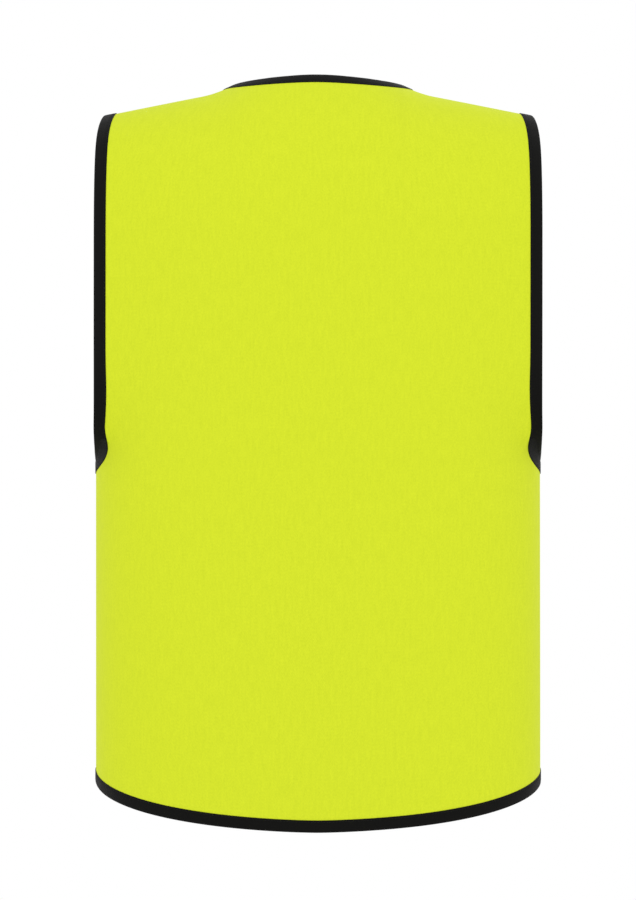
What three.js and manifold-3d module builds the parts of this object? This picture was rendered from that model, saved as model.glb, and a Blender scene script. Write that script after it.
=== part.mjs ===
// A plain high visibility vest, shaped as it hangs on its wearer with the zip undone: a back panel, two front
// panels, cloth bindings round every free edge and an open-ended zip.
// Millimetres. +Z is up, the wearer faces -Y and the wearer's left is +X. Heights are measured from the lowest
// level of the hem, and the finished vest is let down so that the origin lies between the shoulders.

import Module from 'manifold-3d';
import * as THREE from 'three';

// Overall shape
const SHOULDER_HEIGHT = 757;          // the shoulder lines, carried on to the centre plane
const SHOULDER_SLOPE = 0.2;           // fall of the shoulder line for each millimetre outwards
const SHOULDER_HALF_WIDTH = 219;      // centre plane to the fold of the armhole binding
const SHOULDER_TIP_INSET = 5.5;       // how much narrower the shoulder line is than the armhole below it
const SIDE_HALF_WIDTH = 221;          // centre plane to the side seams
const BODY_DEPTH = 118;               // centre plane to the middle of the back, and of the front
const BODY_ROUNDING = 2.6;            // exponent of the rounded oblong below the arms
const CENTRE_FLAT_HALF_WIDTH = 42;    // the cloth lies flat this far from the centre plane
const ARMHOLE_DEPTH = 387;            // shoulder height to the lowest point of the armhole
const ARMHOLE_CORNER = 36;            // height in which the bottom of the armhole rounds out
const ARMHOLE_SETBACK = 34;           // how far the armhole edges stand in from the back, and from the front
const ROLL_DEPTH = 167;               // shoulder height to where the cloth starts to turn over the shoulder
const ROLL_ROUNDING = 2.2;            // exponent of the turn over the shoulder
const NECK_HALF_WIDTH = 84;
const NECK_BACK_REACH = 65;           // shoulder line to the middle of the back neckline
const NECK_RISE = 22.5;               // the cloth stands up this much behind the neck
const NECK_RISE_HALF_WIDTH = 115;
const V_NECK_DEPTH = 227;             // shoulder height to the bottom of the V
const V_NECK_CURVE = 1.5;             // 1 is a straight V, more bends its upper part upright
const HEM_BACK = 11;
const HEM_FRONT = 20;
const HEM_SIDE = 52.5;
const HEM_CURVE = 1.55;
const FRONT_EDGE = 14;                // centre plane to each front edge

// Cloth and bindings
const CLOTH = 1;
const CLEARANCE = 0.3;
const BINDING_WIDTH = 12;
const BINDING_WALL = 0.6;
const LABEL_THICKNESS = 0.4;
const NECK_LABEL_HALF_WIDTH = 25;
const NECK_LABEL_HEIGHT = 22;
const CARE_LABEL_HEIGHT = 55;
const CARE_LABEL_WIDTH = 32;
const CARE_LABEL_BOTTOM = 110;

// Zip
const TAPE_WIDTH = 16;
const TAPE = 0.8;
const BEAD_INNER = 11;                // centre plane to the back of the bead that carries the teeth
const BEAD_WIDTH = 2.4;
const TOOTH_REACH = 1.7;
const TOOTH_PITCH = 4;
const TOOTH_HEIGHT = 2;
const CHAIN = 2.6;                    // thickness of the teeth
const BOX_HEIGHT = 10;
const PIN_HEIGHT = 17;
const STOP_HEIGHT = 4;
const SLIDER_HEIGHT = 13;
const SLIDER_PLATE = 1.2;
const SLIDER_FLANGE = 1;
const BRIDGE_WIDTH = 2.6;
const BRIDGE_BAR = 1.2;
const BRIDGE_REACH = 4.2;
const BRIDGE_ENDS = [2.5, 10.5];      // heights on the slider
const SPRING = 0.3;
const SPRING_WIDTH = 1.8;
const PULL_PIVOT = 8.1;               // height on the slider
const PULL_STAND_OFF = 1.8;           // slider's face to the pivot
const PULL_THICKNESS = 1.4;
const PULL_WIDTH = 7;
const PULL_LENGTH = 30;
const PULL_WINDOW_WIDTH = 3.6;
const PULL_WINDOW_LENGTH = 7;

// Heights and distances that follow
const ARMHOLE_BOTTOM = SHOULDER_HEIGHT - ARMHOLE_DEPTH;
const ROLL_START = SHOULDER_HEIGHT - ROLL_DEPTH;
const V_BOTTOM = SHOULDER_HEIGHT - V_NECK_DEPTH;
const ROLL_LENGTH = 0.8 * (ROLL_DEPTH + BODY_DEPTH);
const CLOTH_TOP = ROLL_START + ROLL_LENGTH;
const BINDING_FACE = CLOTH / 2 + CLEARANCE + BINDING_WALL;
const BINDING_HOLLOW = CLOTH / 2 + CLEARANCE;
const TAPE_PLANE = BODY_DEPTH + CLEARANCE / 2 - CLOTH / 2 - CLEARANCE - TAPE / 2;
const ZIP_BOTTOM = HEM_FRONT + BINDING_WIDTH + 1;
const ZIP_TOP = V_BOTTOM - 2 * CLEARANCE;
const TAPE_INNER = BEAD_INNER + CLEARANCE;
const TOOTH_TIP = BEAD_INNER - BEAD_WIDTH - TOOTH_REACH;
const TEETH_BOTTOM = ZIP_BOTTOM + BOX_HEIGHT + CLEARANCE;
const STOP_TOP = ZIP_TOP - STOP_HEIGHT;
const STOP_BOTTOM = STOP_TOP - STOP_HEIGHT;
const SLIDER_GROOVE = CHAIN / 2 + CLEARANCE;
const SLIDER_FACE = SLIDER_GROOVE + SLIDER_PLATE;
const SLIDER_POST = 0.7;
const SLIDER_CENTRE = TOOTH_TIP - CLEARANCE - SLIDER_POST;
const SLIDER_HALF_WIDTH = TAPE_INNER + SLIDER_FLANGE - SLIDER_CENTRE;
const SEAT = TEETH_BOTTOM;            // height of the slider's foot when it rests on the box

const COLOURS = {
  cloth: [0xd9e92e, 0.85, 0],
  binding: [0x171614, 0.9, 0],
  tape: [0x1b1a18, 0.9, 0],
  teeth: [0x1d1d1d, 0.45, 0],
  metal: [0x2a2a2b, 0.4, 0.8],
  spring: [0xb9bcc0, 0.3, 1],
  label: [0xf1f1ec, 0.6, 0],
};

const wasm = await Module();
wasm.setup();

// ---------------------------------------------------------------- the surface that the cloth follows

const { clamp, lerp, smoothstep } = THREE.MathUtils;

function shoulderLine(x) {
  const softened = Math.hypot(x, 30);
  const nearNeck = Math.max(0, 1 - (x / NECK_RISE_HALF_WIDTH) ** 2);
  return SHOULDER_HEIGHT - SHOULDER_SLOPE * softened + NECK_RISE * nearNeck ** 2;
}

// 0 where the cloth is flat at the centre, 1 at the side
function bend(x, halfWidth) {
  return Math.max(0, x - CENTRE_FLAT_HALF_WIDTH) / (halfWidth - CENTRE_FLAT_HALF_WIDTH);
}

// x and y below the arms, where the vest is a rounded oblong
function bodySection(across) {
  const x = SIDE_HALF_WIDTH * (1 - (1 - across) ** 1.7);
  const turn = Math.min(1, bend(x, SIDE_HALF_WIDTH));
  return [x, BODY_DEPTH * (1 - turn ** BODY_ROUNDING) ** (1 / BODY_ROUNDING)];
}

// x and y above the arms, where front and back are shallow curves
function chestSection(across) {
  const x = SHOULDER_HALF_WIDTH * across;
  return [x, BODY_DEPTH - ARMHOLE_SETBACK * bend(x, SHOULDER_HALF_WIDTH) ** 2];
}

// How much of the chest's shape the cloth has: it changes gently in the middle and rounds out fast at the armhole
function chestShare(across, height) {
  const gentle = smoothstep(height, ARMHOLE_BOTTOM - 60, ARMHOLE_BOTTOM + 110);
  const risen = clamp((height - ARMHOLE_BOTTOM) / ARMHOLE_CORNER, 0, 1);
  const edge = Math.sqrt(1 - (1 - risen) ** 2);
  return lerp(gentle, edge, across ** 8);
}

// across: 0 at the centre plane to 1 at the side. up: the height, and past ROLL_START the way over the shoulder.
function clothPoint(signedAcross, up) {
  const across = Math.min(1, Math.abs(signedAcross));
  const height = Math.min(up, ROLL_START);
  const roll = (clamp((up - ROLL_START) / ROLL_LENGTH, 0, 1) * Math.PI) / 2;
  const share = chestShare(across, height);
  const [bodyX, bodyY] = bodySection(across);
  const [chestX, chestY] = chestSection(across);
  const inset = SHOULDER_TIP_INSET * across ** 6 * Math.sin(roll) ** 8;
  const x = lerp(bodyX, chestX, share) - inset;
  const flatY = lerp(bodyY, chestY, share);
  const forward = Math.max(0, Math.cos(roll)) ** (2 / ROLL_ROUNDING);
  const climb = Math.sin(roll) ** (2 / ROLL_ROUNDING);
  const z = height + (shoulderLine(x) - ROLL_START) * climb;
  return new THREE.Vector3(Math.sign(signedAcross) * x, flatY * forward + CLEARANCE / 2, z);
}

function clothNormal(across, up) {
  const step = 1e-3;
  const [left, right] = [Math.max(-1, across - step), Math.min(1, across + step)];
  const [low, high] = [up - 1, Math.min(CLOTH_TOP, up + 1)];
  const sideways = clothPoint(right, up).sub(clothPoint(left, up));
  const upwards = clothPoint(across, high).sub(clothPoint(across, low));
  const normal = upwards.cross(sideways).normalize();
  const onSeam = clothPoint(across, up).y < CLEARANCE;
  if (onSeam) {
    normal.setY(0).normalize();
  }
  return normal;
}

// The value of across that lies at x, found by halving
function acrossAt(x, up) {
  let [low, high] = [0, 1];
  for (let k = 0; k < 40; k += 1) {
    const middle = (low + high) / 2;
    [low, high] = clothPoint(middle, up).x < x ? [middle, high] : [low, middle];
  }
  return (low + high) / 2;
}

function hemHeight(across, middle) {
  return middle + (HEM_SIDE - middle) * Math.abs(across) ** HEM_CURVE;
}

// How far up the cloth the back neckline lies at a given x
function neckline(x) {
  const reach = NECK_BACK_REACH * Math.sqrt(Math.max(0, 1 - (x / NECK_HALF_WIDTH) ** 2));
  const [, depth] = chestSection(x / SHOULDER_HALF_WIDTH);
  const angle = Math.acos((reach / depth) ** (ROLL_ROUNDING / 2));
  return ROLL_START + (ROLL_LENGTH * angle) / (Math.PI / 2);
}

// x of the front edge: upright along the zip, then out to the neck point
function frontEdge(up) {
  const share = clamp((up - V_BOTTOM) / (CLOTH_TOP - V_BOTTOM), 0, 1);
  return lerp(FRONT_EDGE, NECK_HALF_WIDTH, 1 - (1 - share) ** V_NECK_CURVE);
}

// ---------------------------------------------------------------- sheets of cloth

function steps(from, to, count) {
  return Array.from({ length: count }, (_, k) => lerp(from, to, (k + 1) / count));
}

// Heights of the rows from just above the hem binding to the start of the turn over the shoulder
function bodyRows(hem, extra) {
  const rows = steps(hem + BINDING_WIDTH, ARMHOLE_BOTTOM - BINDING_WIDTH, 5);
  rows.push(ARMHOLE_BOTTOM);
  for (let k = 1; k <= 5; k += 1) {
    rows.push(ARMHOLE_BOTTOM + ARMHOLE_CORNER * (1 - Math.cos((k * Math.PI) / 10)));
  }
  rows.push(...steps(ARMHOLE_BOTTOM + ARMHOLE_CORNER, ROLL_START, 3), ...extra);
  return [hem, hem + BINDING_WIDTH, ...rows.sort((a, b) => a - b)];
}

// grid[column][row] holds across and up
function makeSheet(grid) {
  const height = grid[0].length;
  const vertices = grid.flat().map(([across, up]) => ({
    point: clothPoint(across, up),
    normal: clothNormal(across, up),
    marks: { up },
  }));
  const triangles = [];
  for (let column = 0; column + 1 < grid.length; column += 1) {
    for (let row = 0; row + 1 < height; row += 1) {
      const corner = column * height + row;
      triangles.push([corner, corner + 1, corner + height]);
      triangles.push([corner + 1, corner + height + 1, corner + height]);
    }
  }
  const at = (column, row) => vertices[column * height + row];
  return { vertices, triangles, at, columns: grid.length, rows: height };
}

// Marks every vertex with its distance from an edge
function markDistance(sheet, mark, edge) {
  const lines = edge.slice(1).map((end, k) => new THREE.Line3(edge[k].point, end.point));
  const nearest = new THREE.Vector3();
  for (const vertex of sheet.vertices) {
    const distances = lines.map((line) => {
      line.closestPointToPoint(vertex.point, true, nearest);
      return nearest.distanceTo(vertex.point);
    });
    vertex.marks[mark] = Math.min(vertex.marks[mark] ?? Infinity, ...distances);
  }
}

function mixVertices(a, b, share) {
  const marks = {};
  for (const name of Object.keys(a.marks)) {
    marks[name] = lerp(a.marks[name], b.marks[name], share);
  }
  return {
    point: a.point.clone().lerp(b.point, share),
    normal: a.normal.clone().lerp(b.normal, share).normalize(),
    marks,
  };
}

// Keeps the cloth where the mark is above the limit (side 1) or below it (side -1)
function trim(sheet, mark, limit, side) {
  const vertices = [...sheet.vertices];
  const excess = (index) => {
    const value = side * (vertices[index].marks[mark] - limit);
    return Math.abs(value) < 0.05 ? 0 : value;
  };
  const cuts = new Map();
  const cutBetween = (a, b) => {
    const key = `${Math.min(a, b)} ${Math.max(a, b)}`;
    if (!cuts.has(key)) {
      vertices.push(mixVertices(vertices[a], vertices[b], excess(a) / (excess(a) - excess(b))));
      cuts.set(key, vertices.length - 1);
    }
    return cuts.get(key);
  };
  const triangles = [];
  for (const triangle of sheet.triangles) {
    const kept = [];
    triangle.forEach((from, k) => {
      const to = triangle[(k + 1) % 3];
      if (excess(from) >= 0) {
        kept.push(from);
      }
      if (excess(from) * excess(to) < 0) {
        kept.push(cutBetween(from, to));
      }
    });
    for (let k = 2; k < kept.length; k += 1) {
      triangles.push([kept[0], kept[k - 1], kept[k]]);
    }
  }
  return { vertices, triangles };
}

// The solid between two offsets of a sheet
function thicken(sheet, low, high) {
  const numbers = new Map();
  const positions = [];
  const number = (index) => {
    if (!numbers.has(index)) {
      const { point, normal } = sheet.vertices[index];
      numbers.set(index, numbers.size);
      positions.push(...point.clone().addScaledVector(normal, low).toArray());
      positions.push(...point.clone().addScaledVector(normal, high).toArray());
    }
    return 2 * numbers.get(index);
  };
  const faces = [];
  const edges = new Map();
  for (const triangle of sheet.triangles) {
    const [a, b, c] = triangle.map(number);
    faces.push(a, c, b, a + 1, b + 1, c + 1);
    for (const [from, to] of [[a, b], [b, c], [c, a]]) {
      edges.set(`${from} ${to}`, [from, to]);
    }
  }
  for (const [from, to] of edges.values()) {
    if (!edges.has(`${to} ${from}`)) {
      faces.push(from, to, to + 1, from, to + 1, from + 1);
    }
  }
  return new wasm.Manifold(new wasm.Mesh({
    numProp: 3,
    vertProperties: new Float32Array(positions),
    triVerts: new Uint32Array(faces),
  }));
}

function panelSolid(sheet, boundEdges) {
  let cloth = sheet;
  for (const mark of boundEdges) {
    cloth = trim(cloth, mark, BINDING_WALL + CLEARANCE, 1);
  }
  return thicken(cloth, -CLOTH / 2, CLOTH / 2);
}

// A strip folded over an edge, open towards the cloth
function bindingSolid(sheet, mark) {
  const strip = thicken(trim(sheet, mark, BINDING_WIDTH, -1), -BINDING_FACE, BINDING_FACE);
  const hollow = thicken(trim(sheet, mark, BINDING_WALL, 1), -BINDING_HOLLOW, BINDING_HOLLOW);
  return strip.subtract(hollow);
}

function labelSolid(sheet) {
  const face = -CLOTH / 2 - CLEARANCE;
  return thicken(sheet, face - LABEL_THICKNESS, face);
}

// ---------------------------------------------------------------- meshes

function material(kind) {
  const [color, roughness, metalness] = COLOURS[kind];
  return new THREE.MeshStandardMaterial({ color, roughness, metalness });
}

// mirror is [1 or -1, 1 or -1] for x and y
function solidMesh(name, kind, solid, mirror = [1, 1]) {
  const { vertProperties, triVerts } = solid.getMesh();
  const geometry = new THREE.BufferGeometry();
  geometry.setAttribute('position', new THREE.BufferAttribute(vertProperties.slice(), 3));
  const faces = Array.from(triVerts);
  if (mirror[0] * mirror[1] < 0) {
    for (let k = 0; k < faces.length; k += 3) {
      [faces[k], faces[k + 1]] = [faces[k + 1], faces[k]];
    }
  }
  geometry.setIndex(faces);
  geometry.applyMatrix4(new THREE.Matrix4().makeScale(mirror[0], mirror[1], 1));
  geometry.computeVertexNormals();
  return named(name, kind, geometry);
}

function named(name, kind, geometry) {
  const mesh = new THREE.Mesh(geometry, material(kind));
  mesh.name = name;
  return mesh;
}

// A plate drawn in x and z, from y = back towards the front
function plate(outline, back, thickness) {
  const shape = outline instanceof THREE.Shape ? outline : new THREE.Shape(outline);
  const geometry = new THREE.ExtrudeGeometry(shape, { depth: thickness, bevelEnabled: false });
  return geometry.rotateX(Math.PI / 2).translate(0, back, 0);
}

function box(xs, ys, zs) {
  const size = [xs[1] - xs[0], ys[1] - ys[0], zs[1] - zs[0]];
  const centre = [(xs[0] + xs[1]) / 2, (ys[0] + ys[1]) / 2, (zs[0] + zs[1]) / 2];
  return new THREE.BoxGeometry(...size).translate(...centre);
}

function boxSolid(xs, ys, zs) {
  const positions = [];
  for (const x of xs) {
    for (const y of ys) {
      positions.push(x, y, zs[0], x, y, zs[1]);
    }
  }
  const faces = [
    0, 1, 2, 1, 3, 2,
    4, 6, 5, 5, 6, 7,
    0, 4, 1, 1, 4, 5,
    2, 3, 6, 3, 7, 6,
    0, 2, 4, 2, 6, 4,
    1, 5, 3, 3, 5, 7,
  ];
  return new wasm.Manifold(new wasm.Mesh({
    numProp: 3,
    vertProperties: new Float32Array(positions),
    triVerts: new Uint32Array(faces),
  }));
}

// ---------------------------------------------------------------- back

function backSheet() {
  const acrosses = [0];
  for (let k = 1; k <= 6; k += 1) {
    acrosses.push((NECK_HALF_WIDTH * Math.sin((k * Math.PI) / 12)) / SHOULDER_HALF_WIDTH);
  }
  const strip = (NECK_HALF_WIDTH + BINDING_WIDTH) / SHOULDER_HALF_WIDTH;
  const outer = 1 - BINDING_WIDTH / SHOULDER_HALF_WIDTH;
  acrosses.push(strip, ...steps(strip, outer, 6), 1);
  const columns = [...acrosses.slice(1).reverse().map((across) => -across), ...acrosses];
  const grid = columns.map((across) => {
    const top = neckline(Math.abs(across) * SHOULDER_HALF_WIDTH);
    const rolled = [...steps(ROLL_START, top - BINDING_WIDTH, 5), top];
    return [...bodyRows(hemHeight(across, HEM_BACK), []), ...rolled].map((up) => [across, up]);
  });
  const sheet = makeSheet(grid);
  markEdges(sheet, columns.map((across, k) => k).filter((k) => Math.abs(columns[k]) < strip - 1e-6));
  return sheet;
}

function armholeEdge(sheet, column) {
  const edge = [];
  for (let row = 0; row < sheet.rows; row += 1) {
    if (sheet.at(column, row).marks.up > ARMHOLE_BOTTOM - 1e-6) {
      edge.push(sheet.at(column, row));
    }
  }
  return edge;
}

function markEdges(sheet, neckColumns) {
  const every = Array.from({ length: sheet.columns }, (_, k) => k);
  markDistance(sheet, 'hem', every.map((column) => sheet.at(column, 0)));
  markDistance(sheet, 'neck', neckColumns.map((column) => sheet.at(column, sheet.rows - 1)));
  markDistance(sheet, 'armhole', armholeEdge(sheet, 0));
  markDistance(sheet, 'armhole', armholeEdge(sheet, sheet.columns - 1));
  for (const vertex of sheet.vertices) {
    vertex.marks.x = vertex.point.x;
    vertex.marks.y = vertex.point.y;
  }
}

function neckLabel(sheet) {
  let cloth = trim(sheet, 'neck', BINDING_WIDTH + 2 * CLEARANCE, 1);
  cloth = trim(cloth, 'neck', BINDING_WIDTH + 2 * CLEARANCE + NECK_LABEL_HEIGHT, -1);
  cloth = trim(cloth, 'x', -NECK_LABEL_HALF_WIDTH, 1);
  return labelSolid(trim(cloth, 'x', NECK_LABEL_HALF_WIDTH, -1));
}

function careLabel(sheet) {
  let cloth = trim(sheet, 'up', CARE_LABEL_BOTTOM, 1);
  cloth = trim(cloth, 'up', CARE_LABEL_BOTTOM + CARE_LABEL_HEIGHT, -1);
  cloth = trim(cloth, 'x', 0, 1);
  return labelSolid(trim(cloth, 'y', CARE_LABEL_WIDTH, -1));
}

function buildBack() {
  const sheet = backSheet();
  const armholes = bindingSolid(sheet, 'armhole');
  const [first, second] = armholes.decompose();
  const firstIsLeft = first.boundingBox().max[0] > 0;
  const [left, right] = firstIsLeft ? [first, second] : [second, first];
  const group = new THREE.Group();
  group.add(
    solidMesh('back_panel', 'cloth', panelSolid(sheet, ['hem', 'neck', 'armhole'])),
    solidMesh('neck_binding_back', 'binding', bindingSolid(sheet, 'neck')),
    solidMesh('armhole_binding_left_back', 'binding', left),
    solidMesh('armhole_binding_right_back', 'binding', right),
    solidMesh('hem_binding_back', 'binding', bindingSolid(sheet, 'hem')),
    solidMesh('neck_label', 'label', neckLabel(sheet)),
    solidMesh('care_label', 'label', careLabel(sheet)),
  );
  return group;
}

// ---------------------------------------------------------------- fronts

function frontSheet() {
  const narrow = BINDING_WIDTH / SHOULDER_HALF_WIDTH;
  const shares = [0, 1.3 * narrow, ...steps(1.3 * narrow, 1 - 1.3 * narrow, 7), 1];
  const grid = shares.map((share) => {
    const place = (up) => lerp(acrossAt(frontEdge(up), up), 1, share);
    const hem = hemHeight(place(HEM_FRONT), HEM_FRONT);
    const rolled = [...steps(ROLL_START, CLOTH_TOP - BINDING_WIDTH, 6), CLOTH_TOP];
    const rows = [...bodyRows(hem, [V_BOTTOM]), ...rolled];
    return rows.map((up) => [place(up), up]);
  });
  const sheet = makeSheet(grid);
  markFrontEdges(sheet);
  return sheet;
}

function markFrontEdges(sheet) {
  const columns = Array.from({ length: sheet.columns }, (_, k) => k);
  const rows = Array.from({ length: sheet.rows }, (_, k) => k);
  const neck = rows.filter((row) => sheet.at(0, row).marks.up > V_BOTTOM - 1e-6);
  markDistance(sheet, 'hem', columns.map((column) => sheet.at(column, 0)));
  markDistance(sheet, 'neck', neck.map((row) => sheet.at(0, row)));
  markDistance(sheet, 'armhole', armholeEdge(sheet, sheet.columns - 1));
}

// The V binding stops level with the bottom of the V, where the zip takes over the edge
function neckBindingFront(sheet) {
  return bindingSolid(trim(sheet, 'up', V_BOTTOM, 1), 'neck');
}

function zipTape(side) {
  const xs = [TAPE_INNER, TAPE_INNER + TAPE_WIDTH].map((x) => side * x).sort((a, b) => a - b);
  return box(xs, [-TAPE_PLANE - TAPE / 2, -TAPE_PLANE + TAPE / 2], [ZIP_BOTTOM, ZIP_TOP]);
}

// One bead with teeth on the side that faces the other chain
function zipTeeth(side, bottom) {
  const top = STOP_BOTTOM - CLEARANCE;
  const face = BEAD_INNER - BEAD_WIDTH;
  const outline = [new THREE.Vector2(side * BEAD_INNER, bottom), new THREE.Vector2(side * BEAD_INNER, top)];
  outline.push(new THREE.Vector2(side * face, top));
  const count = Math.floor((top - bottom) / TOOTH_PITCH);
  const offset = side > 0 ? 0 : TOOTH_PITCH / 2;
  for (let k = count - 1; k >= 0; k -= 1) {
    const low = top - (count - k) * TOOTH_PITCH + offset;
    outline.push(new THREE.Vector2(side * face, low + TOOTH_HEIGHT));
    outline.push(new THREE.Vector2(side * TOOTH_TIP, low + TOOTH_HEIGHT - 0.4));
    outline.push(new THREE.Vector2(side * TOOTH_TIP, low + 0.4));
    outline.push(new THREE.Vector2(side * face, low));
  }
  outline.push(new THREE.Vector2(side * face, bottom));
  return plate(outline, -TAPE_PLANE + CHAIN / 2, CHAIN);
}

function zipStop(side) {
  const xs = [BEAD_INNER - BEAD_WIDTH, BEAD_INNER].map((x) => side * x).sort((a, b) => a - b);
  return box(xs, [-TAPE_PLANE - CHAIN / 2, -TAPE_PLANE + CHAIN / 2], [STOP_BOTTOM, STOP_TOP]);
}

function zipPin() {
  const xs = [-BEAD_INNER, -BEAD_INNER + BEAD_WIDTH];
  return box(xs, [-TAPE_PLANE - CHAIN / 2, -TAPE_PLANE + CHAIN / 2], [ZIP_BOTTOM, ZIP_BOTTOM + PIN_HEIGHT]);
}

// The box that the pin drops into, with its socket open at the top
function zipBox() {
  const wall = 0.8;
  const socket = [SLIDER_CENTRE - SLIDER_POST - BEAD_WIDTH - CLEARANCE, SLIDER_CENTRE - SLIDER_POST];
  const reach = CHAIN / 2 + CLEARANCE;
  const block = boxSolid(
    [socket[0] - wall, BEAD_INNER],
    [-TAPE_PLANE - reach - wall, -TAPE_PLANE + reach + wall],
    [ZIP_BOTTOM, ZIP_BOTTOM + BOX_HEIGHT],
  );
  const hole = boxSolid(
    socket,
    [-TAPE_PLANE - reach, -TAPE_PLANE + reach],
    [ZIP_BOTTOM + wall, ZIP_BOTTOM + BOX_HEIGHT + wall],
  );
  return block.subtract(hole);
}

function buildFront(side, label) {
  const sheet = frontSheet();
  const mirror = [side, -1];
  const group = new THREE.Group();
  group.add(
    solidMesh(`front_panel_${label}`, 'cloth', panelSolid(sheet, ['hem', 'neck', 'armhole']), mirror),
    solidMesh(`neck_binding_${label}`, 'binding', neckBindingFront(sheet), mirror),
    solidMesh(`armhole_binding_${label}_front`, 'binding', bindingSolid(sheet, 'armhole'), mirror),
    solidMesh(`hem_binding_${label}`, 'binding', bindingSolid(sheet, 'hem'), mirror),
    named(`zip_tape_${label}`, 'tape', zipTape(side)),
    named(`zip_top_stop_${label}`, 'teeth', zipStop(side)),
  );
  if (side > 0) {
    group.add(named('zip_teeth_left', 'teeth', zipTeeth(side, TEETH_BOTTOM)));
    group.add(solidMesh('zip_box', 'teeth', zipBox()));
  } else {
    group.add(named('zip_teeth_right', 'teeth', zipTeeth(side, ZIP_BOTTOM + PIN_HEIGHT + CLEARANCE)));
    group.add(named('zip_insertion_pin', 'teeth', zipPin()));
  }
  return group;
}

// ---------------------------------------------------------------- slider, in its own frame
// The origin is at the slider's foot, in the plane of the tape, midway between its two grooves.

function sliderBody() {
  const across = [-SLIDER_HALF_WIDTH, SLIDER_HALF_WIDTH];
  const past = [-1, SLIDER_HEIGHT + 1];
  const grooveEnd = SLIDER_HALF_WIDTH - SLIDER_FLANGE;
  const slit = TAPE / 2 + CLEARANCE;
  let body = boxSolid(across, [-SLIDER_FACE, SLIDER_FACE], [0, SLIDER_HEIGHT]);
  for (const side of [-1, 1]) {
    const groove = [side * SLIDER_POST, side * grooveEnd].sort((a, b) => a - b);
    const opening = [side * (grooveEnd - 0.5), side * (SLIDER_HALF_WIDTH + 1)].sort((a, b) => a - b);
    body = body.subtract(boxSolid(groove, [-SLIDER_GROOVE, SLIDER_GROOVE], past));
    body = body.subtract(boxSolid(opening, [-slit, slit], past));
  }
  return body;
}

// An arch over the slider's face that holds the pull
function bridge() {
  const [low, high] = BRIDGE_ENDS;
  const outer = boxSolid(
    [-BRIDGE_WIDTH / 2, BRIDGE_WIDTH / 2],
    [-SLIDER_FACE - BRIDGE_REACH, -SLIDER_FACE - CLEARANCE],
    [low, high],
  );
  const inner = boxSolid(
    [-BRIDGE_WIDTH, BRIDGE_WIDTH],
    [-SLIDER_FACE - BRIDGE_REACH + BRIDGE_BAR, -SLIDER_FACE],
    [low + BRIDGE_BAR, high - BRIDGE_BAR],
  );
  return outer.subtract(inner);
}

function lockSpring() {
  const [low, high] = BRIDGE_ENDS;
  return box(
    [-SPRING_WIDTH / 2, SPRING_WIDTH / 2],
    [-SLIDER_FACE - CLEARANCE - SPRING, -SLIDER_FACE - CLEARANCE],
    [low + BRIDGE_BAR + CLEARANCE, high - BRIDGE_BAR - CLEARANCE],
  );
}

// A tab with a window whose top bar lies under the bridge. The origin is the pivot, and the tab hangs down.
function pullTab() {
  const bar = PULL_THICKNESS / 2;
  const half = PULL_WIDTH / 2;
  const corner = 1;
  const shape = new THREE.Shape();
  shape.moveTo(-half, bar - corner);
  shape.lineTo(-half, half - PULL_LENGTH);
  shape.absarc(0, half - PULL_LENGTH, half, Math.PI, 2 * Math.PI);
  shape.lineTo(half, bar - corner);
  shape.absarc(half - corner, bar - corner, corner, 0, Math.PI / 2);
  shape.absarc(-half + corner, bar - corner, corner, Math.PI / 2, Math.PI);
  const window = new THREE.Path();
  const side = PULL_WINDOW_WIDTH / 2;
  window.moveTo(-side, -bar);
  window.lineTo(side, -bar);
  window.lineTo(side, -bar - PULL_WINDOW_LENGTH);
  window.lineTo(-side, -bar - PULL_WINDOW_LENGTH);
  shape.holes.push(window);
  const options = { depth: PULL_THICKNESS, bevelEnabled: false, curveSegments: 6 };
  return new THREE.ExtrudeGeometry(shape, options).rotateX(Math.PI / 2).translate(0, PULL_THICKNESS / 2, 0);
}

function buildSlider() {
  const slider = new THREE.Group();
  slider.position.set(SLIDER_CENTRE, -TAPE_PLANE, SEAT);
  slider.add(solidMesh('zip_slider_body', 'metal', sliderBody()));
  slider.add(solidMesh('zip_slider_bridge', 'metal', bridge()));
  slider.add(named('zip_lock_spring', 'spring', lockSpring()));
  const pull = named('zip_pull', 'metal', pullTab());
  pull.position.set(0, -SLIDER_FACE - PULL_STAND_OFF, PULL_PIVOT);
  slider.add(pull);
  return slider;
}

// ---------------------------------------------------------------- the vest

const vest = new THREE.Group();
vest.add(buildBack(), buildFront(1, 'left'), buildFront(-1, 'right'), buildSlider());
vest.position.z = -shoulderLine(NECK_HALF_WIDTH);

export default vest;
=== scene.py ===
"""A high visibility vest: knitted cloth panels, stitched cloth bindings and an open-ended moulded zip."""

import math

import bmesh
import bpy
import numpy as np
from mathutils import Matrix, Vector
from mathutils.bvhtree import BVHTree


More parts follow.
